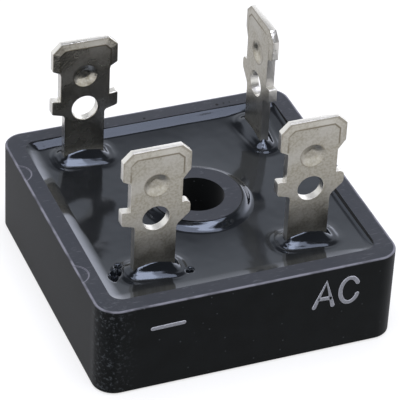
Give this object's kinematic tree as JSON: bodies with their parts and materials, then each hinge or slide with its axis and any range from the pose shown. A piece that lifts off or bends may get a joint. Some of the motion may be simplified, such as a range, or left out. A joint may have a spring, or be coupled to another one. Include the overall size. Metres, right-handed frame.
{
  "type": "bridge rectifier",
  "caption": "Square potted bridge rectifier with a central screw hole, blade terminals on top and a flat metal heat-sink face underneath.",
  "frame": {"origin": "on the screw hole's axis, in the plane of the heat-sink face, which is the lowest plane of the part", "axes": "+Z along the screw hole and the blades, away from the heat sink; the face with the polarity marks looks to -Y; +X to the right, so the minus blade is at the front left and the turned plus blade at the back right"},
  "size_m": [0.0286, 0.0286, 0.0216],
  "materials": {
    "moulding": "black moulded plastic, finely rough, with light scuffs on the rim",
    "plate": "plain rolled aluminium",
    "potting": "cast resin, dark grey and glossy, with a rounded meniscus at every wall",
    "tinned_strip": "tinned strip, satin, with brighter sheared and coined edges",
    "silicon": "metallised silicon, dark grey",
    "solder": "dull solder",
    "copper": "plain rolled copper"
  },
  "bodies": {
    "root": {"case": "moulding", "base_plate": "plate", "potting": "potting", "minus_terminal": "tinned_strip", "ac_front_terminal": "tinned_strip", "ac_back_terminal": "tinned_strip", "plus_terminal": "tinned_strip", "die_left": "silicon", "die_front": "silicon", "die_back": "silicon", "die_right": "silicon", "lower_solder_left": "solder", "lower_solder_front": "solder", "lower_solder_back": "solder", "lower_solder_right": "solder", "upper_solder_left": "solder", "upper_solder_front": "solder", "upper_solder_back": "solder", "upper_solder_right": "solder", "back_jumper": "copper", "right_jumper": "copper", "back_jumper_solder": "solder", "right_jumper_solder": "solder"}
  },
  "joints": []
}
